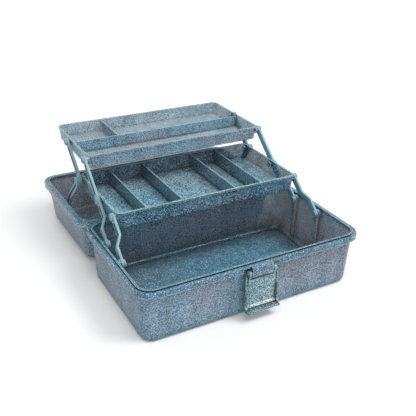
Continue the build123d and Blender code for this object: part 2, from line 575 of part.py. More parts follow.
def tray_pins(pivots, head_faces):
    pieces = []
    for pivot, face in zip(pivots, head_faces):
        pieces += both_sides(pin(pivot, BOSS_FACE - PIN_SEAT, face, face + PIN_HEAD))
    return Compound(children=pieces)


def base_pins():
    pieces = []
    for pivot in (BASE_FRONT_PIVOT, BASE_REAR_PIVOT):
        near = OUTER_PLANE - SIDE_CLEARANCE
        pieces += both_sides(pin(pivot, POST_FACE + PIN_SEAT, near, near - PIN_HEAD))
    return Compound(children=pieces)


def link_rivet():
    """The rivet in the lid end of the right-hand link, headed on the inside."""
    return pin(LINK_LID_PIVOT, LINK_LID_PLANE + ARM_THICKNESS, LINK_LID_PLANE, LINK_LID_PLANE - PIN_HEAD)


def hinge_pins():
    half = 1.5 * KNUCKLE_LENGTH + KNUCKLE_GAP
    pieces = [bar_along_x((HINGE_Y, HINGE_HEIGHT), HINGE_PIN_RADIUS, side * HINGE_OFFSET - half,
                          side * HINGE_OFFSET + half) for side in (-1, 1)]
    return Compound(children=pieces)


def latch():
    """The front latch, hanging open: a channel with two ears, a ridged hook and two shoulders."""
    half = LATCH_WIDTH / 2
    front = FRONT - LATCH_PLATE_STANDOUT
    back = front + LATCH_THICKNESS
    top = LATCH_AXIS_HEIGHT - LATCH_PLATE_TOP
    hook = LATCH_AXIS_HEIGHT - LATCH_HOOK_DROP
    hook_low = hook - LATCH_HOOK_THICKNESS
    hook_front = front - LATCH_HOOK_REACH
    slot_low = LATCH_AXIS_HEIGHT - LATCH_SLOT_DROP
    shoulder_top = LATCH_AXIS_HEIGHT - LATCH_SHOULDER_DROP
    ridge_top = hook + LATCH_RIDGE_HEIGHT
    hook_edge = hook_front + LATCH_THICKNESS / 2
    section = [(back, top), (back, hook_low - LATCH_THICKNESS), (front, hook_low - LATCH_THICKNESS),
               (hook_edge, hook_low), (hook_front, hook_low + LATCH_THICKNESS / 2), (hook_front, hook),
               (front - LATCH_RIDGE, hook), (front - LATCH_RIDGE, ridge_top),
               (front, ridge_top + LATCH_RIDGE_SLOPE), (front, top)]
    body = slab_along_x(section, -half, half)
    inner = LATCH_EAR_OUTER + LATCH_SLOT
    flange_top = LATCH_AXIS_HEIGHT - LATCH_FLANGE_DROP
    flange_front = front - LATCH_FLANGE_DEPTH
    flange = slab_along_x([(front, flange_top), (flange_front, flange_top - LATCH_FLANGE_DEPTH),
                           (flange_front, hook), (hook_front, hook),
                           (hook_front, hook_low + LATCH_THICKNESS / 2), (hook_edge, hook_low),
                           (front, hook_low)], inner, half)
    shoulder = block((inner, front, slot_low), (half, back, shoulder_top))
    axis = (LATCH_AXIS_Y, LATCH_AXIS_HEIGHT)
    ear = slab_along_x([(back, slot_low), (back, top), (axis[0] + LATCH_EAR_RADIUS, axis[1]),
                        (axis[0] - LATCH_EAR_RADIUS, axis[1]), (front, top), (front, slot_low)],
                       LATCH_EAR_INNER, LATCH_EAR_OUTER)
    ear += bar_along_x(axis, LATCH_EAR_RADIUS, LATCH_EAR_INNER, LATCH_EAR_OUTER)
    slot = block((LATCH_EAR_OUTER, front - CUT_MARGIN, slot_low), (inner, back + CUT_MARGIN, shoulder_top))
    for gap in both_sides(slot):
        body -= gap
    for side in both_sides(flange + shoulder) + both_sides(ear):
        body += side
    return body - bar_along_x(axis, LATCH_PIN_RADIUS + RUNNING_CLEARANCE, -half, half)


def latch_pin():
    return bar_along_x((LATCH_AXIS_Y, LATCH_AXIS_HEIGHT), LATCH_PIN_RADIUS, -LATCH_EAR_OUTER,
                       LATCH_EAR_OUTER)


def carry_handle_shut():
    """The handle folded flat into the recess of the shut lid."""
    top = HANDLE_AXIS_Z + HANDLE_THICKNESS / 2
    grip_y = HANDLE_AXIS_Y - HANDLE_REACH
    half = HANDLE_SPAN / 2
    grip = block((-half, grip_y - HANDLE_GRIP_WIDTH / 2, top - HANDLE_THICKNESS),
                 (half, grip_y + HANDLE_GRIP_WIDTH / 2, top))
    leg = block((half - HANDLE_LEG, grip_y, top - HANDLE_THICKNESS), (half, HANDLE_AXIS_Y, top))
    body = grip
    for side in both_sides(leg):
        body += side
    body = fillet(body.edges().filter_by(Axis.X), HANDLE_THICKNESS * 0.3)
    axis = (HANDLE_AXIS_Y, HANDLE_AXIS_Z)
    for eye in both_sides(bar_along_x(axis, HANDLE_EYE_RADIUS, half - HANDLE_LEG, half)):
        body += eye
    return body - bar_along_x(axis, HANDLE_PIN_RADIUS + RUNNING_CLEARANCE, -half, half)


def handle_pins_shut():
    end = HANDLE_SPAN / 2 + SIDE_CLEARANCE + HANDLE_PIN_SEAT
    pieces = both_sides(bar_along_x((HANDLE_AXIS_Y, HANDLE_AXIS_Z), HANDLE_PIN_RADIUS,
                                    HANDLE_SPAN / 2 - HANDLE_LEG, end))
    return Compound(children=pieces)


def build():
    nodes = {
        "base_bin": base_bin(),
        "lid": open_pose(lid_shut()),
        "lower_tray": lower_tray(),
        "upper_tray": upper_tray(),
        "base_pivot_pins": base_pins(),
        "lower_tray_pins": tray_pins((LOWER_FRONT_PIVOT, LOWER_MIDDLE_PIVOT, LOWER_REAR_PIVOT),
                                     (TRAY_HEAD_FACE, TRAY_HEAD_FACE, LINK_HEAD_FACE)),
        "upper_tray_pins": tray_pins((UPPER_FRONT_PIVOT, UPPER_REAR_PIVOT), (TRAY_HEAD_FACE,) * 2),
        "lid_hinge_pins": hinge_pins(),
        "latch": latch(),
        "latch_pin": latch_pin(),
        "carry_handle": open_pose(carry_handle_shut()),
        "handle_pins": open_pose(handle_pins_shut()),
    }
    for name, make in (("front_arm", front_arm), ("long_arm", long_arm),
                       ("rear_arm", rear_arm), ("lid_link", lid_link), ("lid_link_rivet", link_rivet)):
        right, left = both_sides(make())
        nodes[name + "_right"] = right
        nodes[name + "_left"] = left
    return nodes


os.makedirs("parts", exist_ok=True)
for name, shape in build().items():
    export_step(shape, f"parts/{name}.step")
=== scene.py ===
"""Craft caddy: an open glitter-plastic case with two stepped trays on cantilever arms."""

import json
import math

import bpy
from bpy.props import FloatProperty, FloatVectorProperty, PointerProperty
from mathutils import Matrix, Vector


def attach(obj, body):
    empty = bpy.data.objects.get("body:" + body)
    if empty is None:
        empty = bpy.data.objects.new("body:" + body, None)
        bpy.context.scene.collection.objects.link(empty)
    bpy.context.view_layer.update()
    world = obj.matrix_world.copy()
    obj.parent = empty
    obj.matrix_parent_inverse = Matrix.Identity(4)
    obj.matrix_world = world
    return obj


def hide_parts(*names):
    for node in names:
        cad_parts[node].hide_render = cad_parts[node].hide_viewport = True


bl_info = {
    "name": "Craft Caddy",
    "version": (1, 0, 0),
    "blender": (4, 5, 0),
    "location": "View3D > Sidebar > Caddy",
    "description": "Dresses the craft caddy: glitter plastic shells, moulded arms, latch and handle",
    "category": "Object",
}

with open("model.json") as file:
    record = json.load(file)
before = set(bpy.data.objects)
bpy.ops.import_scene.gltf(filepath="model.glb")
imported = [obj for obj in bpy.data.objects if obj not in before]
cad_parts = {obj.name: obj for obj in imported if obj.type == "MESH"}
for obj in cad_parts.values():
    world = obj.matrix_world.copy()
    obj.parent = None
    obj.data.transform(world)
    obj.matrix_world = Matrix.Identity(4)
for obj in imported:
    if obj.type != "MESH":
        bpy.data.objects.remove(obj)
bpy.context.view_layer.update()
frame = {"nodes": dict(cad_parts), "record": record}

MERGE_DISTANCE = 2e-6
FLAT_ANGLE = math.radians(1.0)       # faces that turn by less than this are one face
BEVEL_ANGLE = math.radians(40)       # edges sharper than this are bevelled
SMOOTH_ANGLE = math.radians(35)
PIN_HEAD_RADIUS, PIN_HEAD_DEPTH, PIN_SHAFT_RADIUS = 0.0052, 0.0020, 0.0025
PIN_REACH = 0.012                    # vertices nearer than this belong to one pin
FLAKE_TILT = 0.15
LATCH_BEVEL = 1.6                    # bevel of the latch, as a share of the arms' bevel

# Bands of colour: the heights between which each sets in, and its climb for each metre to the back.
BASE_RIM = (0.0705, 0.0735, 0.0)
BASE_FOOT = (0.012, 0.006, 0.0)
LID_RIM = (0.0725, 0.0765, -0.035)
# Painted highlight: the latch ridge band is a bright colour, not lit.
LATCH_RIDGE_HIGHLIGHT = (0.0228, 0.0222, 0.0)
# Painted shade: the hook band is darker, as if in shadow.
LATCH_HOOK_SHADE = (0.0196, 0.0190, 0.0)
LATCH_BACK = (-102.3, -101.7, -1000.0)   # all but upright: what lies behind the middle of the plate

# Lamps: name, place, point aimed at, size and power.
LAMPS = (
    ("Key", (1.0, -0.9, 2.3), (0, 0.05, 0.05), 1.3, 37.0),
    ("Top", (-0.4, -0.9, 2.3), (0, 0.05, 0.05), 1.0, 11.0),
    ("Fill", (-0.7, -2.1, 1.1), (0, 0, 0.05), 1.6, 7.0),
    ("Back", (-0.4, 1.9, 1.9), (0, 0.1, 0.05), 1.4, 14.0),
)
STUDIO_LIGHT, STUDIO_SEEN = 0.46, 1.0    # strength of the white world as light and as seen
CAMERA_EYE = (-0.4015, -0.6641, 0.5107)
CAMERA_ANGLES = (29.59, -27.18, 1.43)    # yaw, pitch and roll in degrees
CAMERA_LENS, CAMERA_SENSOR = 54.97, 36.0


def colour(name, text, value):
    return FloatVectorProperty(name=name, description=text, subtype="COLOR", size=3, min=0, max=1,
                               default=value)


def length(name, text, value):
    return FloatProperty(name=name, description=text, subtype="DISTANCE", unit="LENGTH", min=0,
                         default=value, precision=5)


class CaddyColours(bpy.types.PropertyGroup):
    shell: colour("Shell", "Grey-blue of the case and lid walls", (0.205, 0.282, 0.365))
    rim: colour("Rims", "Deeper blue of the thick moulded rims", (0.085, 0.225, 0.320))
    foot: colour("Foot", "Deep blue where the walls run into the floor", (0.095, 0.245, 0.345))
    # Painted shade for the faces turned down.
    underside_shade: colour("Underside", "Dark blue of the faces turned down", (0.020, 0.055, 0.095))
    lower_tray: colour("Lower tray", "Blue of the lower tray", (0.088, 0.190, 0.275))
    upper_tray: colour("Upper tray", "Paler blue of the upper tray", (0.225, 0.365, 0.460))
    # Painted light: the lower tray's faces turned up, made paler as if lit from above.
    tray_lit_top: colour("Tray floor", "Paler faces of the lower tray that are turned up",
                       (0.250, 0.440, 0.530))
    flake_silver: colour("Silver flakes", "Brightest glitter in the plastic", (0.72, 0.92, 1.0))
    flake_cyan: colour("Cyan flakes", "Blue-green glitter in the plastic", (0.20, 0.42, 0.56))
    flake_rose: colour("Rose flakes", "Warm glitter in the plastic", (0.34, 0.34, 0.46))
    arm: colour("Arms", "Opaque plastic of the arms and pins", (0.215, 0.385, 0.460))
    latch: colour("Latch", "Pale plastic of the latch", (0.175, 0.280, 0.315))
    # Painted highlight, coloured rather than lit.
    ridge: colour("Latch ridge", "Bright line where the ridge above the hook catches the light",
                  (0.74, 0.86, 0.88))
    # Painted shade: the hook below the ridge is coloured darker, as if in shadow, not a darker plastic.
    hook: colour("Latch hook", "Darker plastic of the hook below the ridge", (0.105, 0.185, 0.220))
    steel: colour("Steel", "Hinge and latch pins", (0.55, 0.56, 0.58))


class CaddySizes(bpy.types.PropertyGroup):
    flake_gap: length("Flake spacing", "Distance between the larger pieces of glitter", 0.0019)
    grain: length("Grain size", "Width of the finest glitter", 0.0015)
    grain_depth: FloatProperty(name="Grain depth", description="Contrast of the finest glitter",
                               min=0, default=4.3)
    # Also sets the width of the painted edge highlight.
    edge: length("Edge radius", "Softened edge of the mouldings", 0.0009)
    arm_edge: length("Arm edge", "Width of the bevel round the arms and the latch", 0.00035)
    pin_ring: length("Pin ring", "Width of the raised ring on a pin head", 0.0013)
    pin_sink: length("Pin sink", "How far a pin head is sunk inside its ring", 0.0006)


def settings():
    return bpy.context.scene.caddy_colours, bpy.context.scene.caddy_sizes


class Nodes:
    """Adds nodes to a tree in one line each."""

    def __init__(self, tree):
        self.tree = tree

    def add(self, kind, inputs=None, **values):
        node = self.tree.nodes.new(kind)
        for key, value in values.items():
            setattr(node, key, value)
        for key, value in (inputs or {}).items():
            socket = node.inputs[key]
            if isinstance(value, bpy.types.NodeSocket):
                self.tree.links.new(value, socket)
            else:
                socket.default_value = value
        return node


def rgba(value):
    return (*value, 1.0)


def new_group(name, inputs, outputs):
    group = bpy.data.node_groups.new(name, "ShaderNodeTree")
    for key, kind, value in inputs:
        socket = group.interface.new_socket(name=key, in_out="INPUT", socket_type=kind)
        if value is not None:
            socket.default_value = value
    for key, kind in outputs:
        group.interface.new_socket(name=key, in_out="OUTPUT", socket_type=kind)
    return group


def edge_group():
    """Painted highlights on the outer edges, painted shade in the inner corners and inside the case,
    from the shape itself.
    """
    if "Painted highlights and shade" in bpy.data.node_groups:
        return bpy.data.node_groups["Painted highlights and shade"]
    group = new_group("Painted highlights and shade", [
        ("Color", "NodeSocketColor", (0.1, 0.2, 0.3, 1)),
        ("Edge", "NodeSocketColor", (0.5, 0.6, 0.65, 1)),
        ("Radius", "NodeSocketFloat", 0.0007),
        ("Reach", "NodeSocketFloat", 0.004),
        ("Painted highlight", "NodeSocketFloat", 0.5),
        ("Depth", "NodeSocketFloat", 0.6),
        ("Room", "NodeSocketFloat", 0.04),
        ("Shade", "NodeSocketFloat", 0.5),
    ], [("Color", "NodeSocketColor"), ("Painted highlight", "NodeSocketFloat"), ("Normal", "NodeSocketVector")])
    n = Nodes(group)
    inp = n.add("NodeGroupInput").outputs
    out = n.add("NodeGroupOutput")
    # Painted highlight: edges that turn sharply and lie in open air are mixed toward a paler colour.
    soft = n.add("ShaderNodeBevel", {"Radius": inp["Radius"]}, samples=6).outputs[0]
    hard = n.add("ShaderNodeNewGeometry").outputs["Normal"]
    same = n.add("ShaderNodeVectorMath", {0: soft, 1: hard}, operation="DOT_PRODUCT").outputs["Value"]
    turn = n.add("ShaderNodeMapRange", {0: same, 1: 0.995, 2: 0.86, 3: 0.0, 4: 1.0})
    near = n.add("ShaderNodeAmbientOcclusion", {"Distance": inp["Reach"]}, samples=6, only_local=True)
    open_air = n.add("ShaderNodeMapRange", {0: near.outputs["AO"], 1: 0.55, 2: 0.9, 3: 0.0, 4: 1.0})
    highlit_edge = n.add("ShaderNodeMath", {0: turn.outputs[0], 1: open_air.outputs[0]}, operation="MULTIPLY")
    highlight_strength = n.add("ShaderNodeMath", {0: highlit_edge.outputs[0], 1: inp["Painted highlight"]}, operation="MULTIPLY")
    light = n.add("ShaderNodeMix", {0: highlight_strength.outputs[0], 6: inp["Color"], 7: inp["Edge"]},
                  data_type="RGBA")
    # Painted shade: corners within the short reach, and the inside of the case within the wide reach,
    # are darkened as if in shadow.
    shut_in = n.add("ShaderNodeMath", {0: 1.0, 1: near.outputs["AO"]}, operation="SUBTRACT")
    corner_shade = n.add("ShaderNodeMath", {0: shut_in.outputs[0], 1: inp["Depth"]}, operation="MULTIPLY")
    wide = n.add("ShaderNodeAmbientOcclusion", {"Distance": inp["Room"]}, samples=6, only_local=True)
    inside = n.add("ShaderNodeMath", {0: 1.0, 1: wide.outputs["AO"]}, operation="SUBTRACT")
    both = n.add("ShaderNodeMath", {0: inside.outputs[0], 1: inp["Shade"], 2: corner_shade.outputs[0]},
                 operation="MULTIPLY_ADD")
    kept = n.add("ShaderNodeMath", {0: 1.0, 1: both.outputs[0]}, operation="SUBTRACT", use_clamp=True)
    least = n.add("ShaderNodeMath", {0: kept.outputs[0], 1: 0.08}, operation="MAXIMUM")
    deep = n.add("ShaderNodeVectorMath", {0: light.outputs[2], 3: least.outputs[0]}, operation="SCALE")
    for key, value in (("Color", deep.outputs[0]), ("Painted highlight", highlight_strength.outputs[0]), ("Normal", soft)):
        group.links.new(value, out.inputs[key])
    return group


def glitter_group():
    """Plastic with loose glitter in it: a colour, a roughness, a metal mask, an alpha and a normal."""
    if "Glitter" in bpy.data.node_groups:
        return bpy.data.node_groups["Glitter"]
    group = new_group("Glitter", [
        ("Plastic", "NodeSocketColor", (0.1, 0.2, 0.3, 1)),
        ("Silver", "NodeSocketColor", (0.6, 0.7, 0.75, 1)),
        ("Cyan", "NodeSocketColor", (0.2, 0.5, 0.6, 1)),
        ("Rose", "NodeSocketColor", (0.4, 0.3, 0.4, 1)),
        ("Flakes per metre", "NodeSocketFloat", 400.0),
        ("Grains per metre", "NodeSocketFloat", 800.0),
        ("Grain", "NodeSocketFloat", 1.2),
        ("Amount", "NodeSocketFloat", 0.5),
        ("Sparkle", "NodeSocketFloat", 1.0),
        ("Clear", "NodeSocketFloat", 0.15),
        ("Tilt", "NodeSocketFloat", 0.5),
        ("Facing", "NodeSocketVector", None),
    ], [("Color", "NodeSocketColor"), ("Roughness", "NodeSocketFloat"), ("Metallic", "NodeSocketFloat"),
        ("Alpha", "NodeSocketFloat"), ("Normal", "NodeSocketVector")])
    n = Nodes(group)
    inp = n.add("NodeGroupInput").outputs
    out = n.add("NodeGroupOutput")
    place = n.add("ShaderNodeTexCoord").outputs["Object"]
    patch = n.add("ShaderNodeTexNoise", {"Vector": place, "Scale": 45.0, "Detail": 3.0}).outputs["Fac"]
    flow = n.add("ShaderNodeMapping", {"Vector": place, "Scale": (70.0, 70.0, 5.0)}).outputs[0]
    streak = n.add("ShaderNodeTexNoise", {"Vector": flow, "Scale": 1.0, "Detail": 2.0}).outputs["Fac"]
    both = n.add("ShaderNodeMath", {0: patch, 1: streak}, operation="ADD").outputs[0]
    shade = n.add("ShaderNodeMapRange", {0: both, 1: 0.7, 2: 1.3, 3: 0.76, 4: 1.26}).outputs[0]
    warm = n.add("ShaderNodeTexNoise", {"Vector": place, "Scale": 9.0, "Detail": 2.0}).outputs["Fac"]
    warm = n.add("ShaderNodeMapRange", {0: warm, 1: 0.42, 2: 0.62}).outputs[0]
    cast = n.add("ShaderNodeMix", {0: warm, 6: (0.88, 1.05, 1.08, 1), 7: (1.07, 0.97, 0.98, 1)},
                 data_type="RGBA").outputs[2]
    hue = n.add("ShaderNodeVectorMath", {0: inp["Plastic"], 1: cast}, operation="MULTIPLY").outputs[0]
    base = n.add("ShaderNodeVectorMath", {0: hue, 3: shade}, operation="SCALE").outputs[0]
    grains = n.add("ShaderNodeTexNoise", {"Vector": place, "Scale": inp["Grains per metre"],
                                            "Detail": 1.0})
    grey = n.add("ShaderNodeMix", {0: 0.85, 6: grains.outputs["Color"], 7: grains.outputs["Fac"]},
                 data_type="RGBA")
    middle = n.add("ShaderNodeVectorMath", {0: grey.outputs[2], 1: (0.5, 0.5, 0.5)},
                   operation="SUBTRACT")
    spread = n.add("ShaderNodeVectorMath", {0: middle.outputs[0], 3: inp["Grain"]}, operation="SCALE")
    grain = n.add("ShaderNodeVectorMath", {0: spread.outputs[0], 1: (1.0, 1.0, 1.0)}, operation="ADD")
    speckled = n.add("ShaderNodeVectorMath", {0: base, 1: grain.outputs[0]},
                     operation="MULTIPLY").outputs[0]
    rosy = n.add("ShaderNodeMix", {0: warm, 6: inp["Cyan"], 7: inp["Rose"]},
                 data_type="RGBA").outputs[2]
    cells = n.add("ShaderNodeTexVoronoi", {"Vector": place, "Scale": inp["Flakes per metre"]},
                  voronoi_dimensions="3D", feature="F1").outputs
    pick = n.add("ShaderNodeSeparateColor", {"Color": cells["Color"]}).outputs
    lift = n.add("ShaderNodeMapRange", {0: pick["Green"], 1: 0.3, 2: 0.8}).outputs[0]
    tint = n.add("ShaderNodeMix", {0: lift, 6: rosy, 7: inp["Silver"]}, data_type="RGBA").outputs[2]
    edge = n.add("ShaderNodeMath", {0: 1.0, 1: inp["Amount"]}, operation="SUBTRACT").outputs[0]
    there = n.add("ShaderNodeMath", {0: pick["Red"], 1: edge}, operation="GREATER_THAN").outputs[0]
    dot = n.add("ShaderNodeMapRange", {0: cells["Distance"], 1: 0.44, 2: 0.30}).outputs[0]
    strength = n.add("ShaderNodeMapRange", {0: inp["Sparkle"], 3: 0.6, 4: 1.0}).outputs[0]
    flake = n.add("ShaderNodeMath", {0: there, 1: dot}, operation="MULTIPLY").outputs[0]
    flake = n.add("ShaderNodeMath", {0: flake, 1: strength}, operation="MULTIPLY").outputs[0]
    tone = n.add("ShaderNodeMix", {0: flake, 6: speckled, 7: tint}, data_type="RGBA").outputs[2]
    rough = n.add("ShaderNodeMapRange", {0: flake, 3: 0.24, 4: 0.16}).outputs[0]
    metal = n.add("ShaderNodeMath", {0: flake, 1: 0.15}, operation="MULTIPLY").outputs[0]
    thin = n.add("ShaderNodeMapRange", {0: patch, 1: 0.3, 2: 0.7, 3: 0.8, 4: 1.1}).outputs[0]
    see = n.add("ShaderNodeMath", {0: thin, 1: inp["Clear"]}, operation="MULTIPLY").outputs[0]
    solid = n.add("ShaderNodeMath", {0: 1.0, 1: see}, operation="SUBTRACT").outputs[0]
    centre = n.add("ShaderNodeVectorMath", {0: cells["Color"], 1: (0.5, 0.5, 0.5)},
                   operation="SUBTRACT")
    reach = n.add("ShaderNodeMath", {0: flake, 1: inp["Tilt"]}, operation="MULTIPLY").outputs[0]
    tilt = n.add("ShaderNodeVectorMath", {0: centre.outputs[0], 3: reach}, operation="SCALE").outputs[0]
    turned = n.add("ShaderNodeVectorMath", {0: inp["Facing"], 1: tilt}, operation="ADD").outputs[0]
    normal = n.add("ShaderNodeVectorMath", {0: turned}, operation="NORMALIZE").outputs[0]
    for key, value in (("Color", tone), ("Roughness", rough), ("Metallic", metal), ("Alpha", solid),
                       ("Normal", normal)):
        group.links.new(value, out.inputs[key])
    return group


def new_material(name):
    material = bpy.data.materials.new(name)
    material.use_nodes = True
    n = Nodes(material.node_tree)
    return material, n, material.node_tree.nodes["Principled BSDF"]


def edges(n, tint, highlight, radius, reach, highlight_strength, depth, shade=0.0):
    """Adds the group of painted edge highlights and painted corner shade to a material, over a colour.
    """
    node = n.add("ShaderNodeGroup", node_tree=edge_group())
    if isinstance(tint, bpy.types.NodeSocket):
        n.tree.links.new(tint, node.inputs["Color"])
    else:
        node.inputs["Color"].default_value = rgba(tint)
    node.inputs["Edge"].default_value = rgba(highlight)
    for key, value in (("Radius", radius), ("Reach", reach), ("Painted highlight", highlight_strength), ("Depth", depth),
                       ("Shade", shade)):
        node.inputs[key].default_value = value
    return node.outputs


def glitter_plastic(name, plastic, amount, clear, bands=(), lit_top=None, highlight_strength=1.0, depth=1.4, shade=0.6,
                    grain=1.0):
    """Glitter plastic. A band is (colour, from, to, slope): a more sparkling rim or foot, a painted
    highlight on the latch ridge, or a painted shade on the hook below it.

    It sets in between two heights, in a plane that climbs by slope for each metre to the back.
    Faces turned up take the colour top, if one is given: a painted light, paler as if lit from above.
    Faces turned down take a painted underside shade.
    """
    colours, sizes = settings()
    material, n, shader = new_material(name)
    glitter = n.add("ShaderNodeGroup", node_tree=glitter_group())
    for key, value in (("Plastic", rgba(plastic)), ("Silver", rgba(colours.flake_silver)),
                       ("Cyan", rgba(colours.flake_cyan)), ("Rose", rgba(colours.flake_rose)),
                       ("Flakes per metre", 1 / sizes.flake_gap), ("Grain", sizes.grain_depth * grain),
                       ("Grains per metre", 1 / sizes.grain), ("Amount", amount),
                       ("Clear", clear), ("Tilt", FLAKE_TILT)):
        glitter.inputs[key].default_value = value
    tone, sparkle = rgba(plastic), 0.0
    for tint, start, end, slope in bands:
        place = n.add("ShaderNodeTexCoord").outputs["Object"]
        axes = n.add("ShaderNodeSeparateXYZ", {0: place}).outputs
        climb = n.add("ShaderNodeMath", {0: axes["Y"], 1: -slope, 2: axes["Z"]},
                      operation="MULTIPLY_ADD")
        band = n.add("ShaderNodeMapRange", {0: climb.outputs[0], 1: start, 2: end}).outputs[0]
        tone = n.add("ShaderNodeMix", {0: band, 6: tone, 7: rgba(tint)}, data_type="RGBA").outputs[2]
        sparkle = n.add("ShaderNodeMath", {0: sparkle, 1: band}, operation="MAXIMUM").outputs[0]
    facing = n.add("ShaderNodeNewGeometry").outputs["Normal"]
    down = n.add("ShaderNodeSeparateXYZ", {0: facing}).outputs["Z"]
    # Painted light: faces turned up are made paler, as if lit from above.
    if lit_top is not None:
        lit = n.add("ShaderNodeMapRange", {0: down, 1: 0.35, 2: 0.8}).outputs[0]
        tone = n.add("ShaderNodeMix", {0: lit, 6: tone, 7: rgba(lit_top)}, data_type="RGBA").outputs[2]
    # Painted shade: faces turned down are darkened, as if in shadow.
    underside_shade = n.add("ShaderNodeMapRange", {0: down, 1: -0.25, 2: -0.6}).outputs[0]
    tone = n.add("ShaderNodeMix", {0: underside_shade, 6: tone, 7: rgba(colours.underside_shade)},
                 data_type="RGBA").outputs[2]
    n.tree.links.new(tone, glitter.inputs["Plastic"])
    if bands:
        n.tree.links.new(sparkle, glitter.inputs["Sparkle"])
    # Painted highlight on the outer edges in the silver flake colour, and painted shade in the corners
    # and inside the case.
    shaped = edges(n, glitter.outputs["Color"], colours.flake_silver, sizes.edge, 0.005, highlight_strength, depth,
                   shade)
    n.tree.links.new(facing, glitter.inputs["Facing"])
    n.tree.links.new(shaped["Color"], shader.inputs["Base Color"])
    for key in ("Roughness", "Metallic", "Alpha", "Normal"):
        n.tree.links.new(glitter.outputs[key], shader.inputs[key])
    shader.inputs["IOR"].default_value = 1.5
    return material


def moulded_plastic(name, tint, rough, grain):
    """Opaque moulded plastic with a faint grain, slow changes of tone, painted highlights on its edges
    and painted shade in its grooves.
    """
    material, n, shader = new_material(name)
    place = n.add("ShaderNodeTexCoord").outputs["Object"]
    slow = n.add("ShaderNodeTexNoise", {"Vector": place, "Scale": 38.0, "Detail": 2.0}).outputs["Fac"]
    shade = n.add("ShaderNodeMapRange", {0: slow, 1: 0.3, 2: 0.7, 3: 0.9, 4: 1.1})
    tone = n.add("ShaderNodeVectorMath", {0: tint, 3: shade.outputs[0]}, operation="SCALE")
    fine = n.add("ShaderNodeTexNoise", {"Vector": place, "Scale": 2600.0, "Detail": 2.0}).outputs["Fac"]
    gloss = n.add("ShaderNodeMapRange", {0: slow, 1: 0.2, 2: 0.8, 3: rough - 0.05, 4: rough + 0.07})
    bump = n.add("ShaderNodeBump", {"Height": fine, "Strength": grain, "Distance": 0.0002})
    # Painted highlight in a paler tint on the edges, and painted shade in the grooves and corners.
    pale = [min(1.0, c * 1.9) for c in tint]
    shaped = edges(n, tone.outputs[0], pale, settings()[1].edge, 0.005, 0.5, 3.4)
    n.tree.links.new(shaped["Normal"], bump.inputs["Normal"])
    n.tree.links.new(shaped["Color"], shader.inputs["Base Color"])
    n.tree.links.new(gloss.outputs[0], shader.inputs["Roughness"])
    n.tree.links.new(bump.outputs[0], shader.inputs["Normal"])
    return material


def brushed_steel(name, tint):
    material, n, shader = new_material(name)
    place = n.add("ShaderNodeTexCoord").outputs["Object"]
    drawn = n.add("ShaderNodeMapping", {"Vector": place, "Scale": (60.0, 2600.0, 2600.0)})
    lines = n.add("ShaderNodeTexNoise", {"Vector": drawn.outputs[0], "Scale": 1.0, "Detail": 3.0})
    gloss = n.add("ShaderNodeMapRange", {0: lines.outputs["Fac"], 3: 0.22, 4: 0.42})
    n.tree.links.new(gloss.outputs[0], shader.inputs["Roughness"])
    shader.inputs["Base Color"].default_value = rgba(tint)
    shader.inputs["Metallic"].default_value = 1.0
    return material


def dress(material, *names):
    """Gives CAD nodes a finish."""
    for name in names:
        piece = frame["nodes"][name]
        for slot in piece.material_slots:
            slot.material = material


def bevel_edges(piece, width, segments):
    bevel = piece.modifiers.new("Edges", "BEVEL")
    bevel.width = width
    bevel.segments = segments
    bevel.limit_method = "ANGLE"
    bevel.angle_limit = BEVEL_ANGLE
    bpy.ops.object.modifier_apply(modifier=bevel.name)


def stand_in(node, name, slot_name, width, material):
    """A copy of a CAD piece with its edges bevelled, shown in its place."""
    source = frame["nodes"][node]
    piece = bpy.data.objects.new(name, source.data.copy())
    bpy.context.collection.objects.link(piece)
    bpy.ops.object.select_all(action="DESELECT")
    piece.select_set(True)
    bpy.context.view_layer.objects.active = piece
    bpy.ops.object.mode_set(mode="EDIT")
    bpy.ops.mesh.select_all(action="SELECT")
    bpy.ops.mesh.remove_doubles(threshold=MERGE_DISTANCE)
    bpy.ops.mesh.dissolve_limited(angle_limit=FLAT_ANGLE)
    bpy.ops.object.mode_set(mode="OBJECT")
    bevel_edges(piece, width, 2)
    bpy.ops.object.shade_smooth_by_angle(angle=SMOOTH_ANGLE)
    finish(piece, body_of(node), slot_name, material, node)


def body_of(node):
    """The moving body that a CAD node belongs to."""
    return next(name for name, nodes in frame["record"]["behaviour"]["bodies"].items() if node in nodes)


def finish(piece, body, slot_name, material, *nodes):
    """Gives a modelled piece its material and its body, and hides the CAD nodes that it stands for; the
    slot name is not used.
    """
    piece.data.materials.clear()
    piece.data.materials.append(material)
    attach(piece, body)
    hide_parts(*nodes)


def pin_boxes(node):
    """The box of each pin in a CAD node of pins: one for each side and pivot."""
    boxes = []
    for vertex in frame["nodes"][node].data.vertices:
        at = vertex.co
        for low, high in boxes:
            near = all(abs(at[i] - low[i]) < PIN_REACH for i in (1, 2)) and at.x * low.x > 0
            if near:
                for i in range(3):
                    low[i], high[i] = min(low[i], at[i]), max(high[i], at[i])
                break
        else:
            boxes.append((at.copy(), at.copy()))
    return boxes


def pick_faces(piece, test):
    """In edit mode, select only the faces whose centre and normal pass a test."""
    bpy.ops.mesh.select_all(action="DESELECT")
    bpy.ops.object.mode_set(mode="OBJECT")
    for face in piece.data.polygons:
        face.select = test(face.center, face.normal)
    bpy.ops.object.mode_set(mode="EDIT")


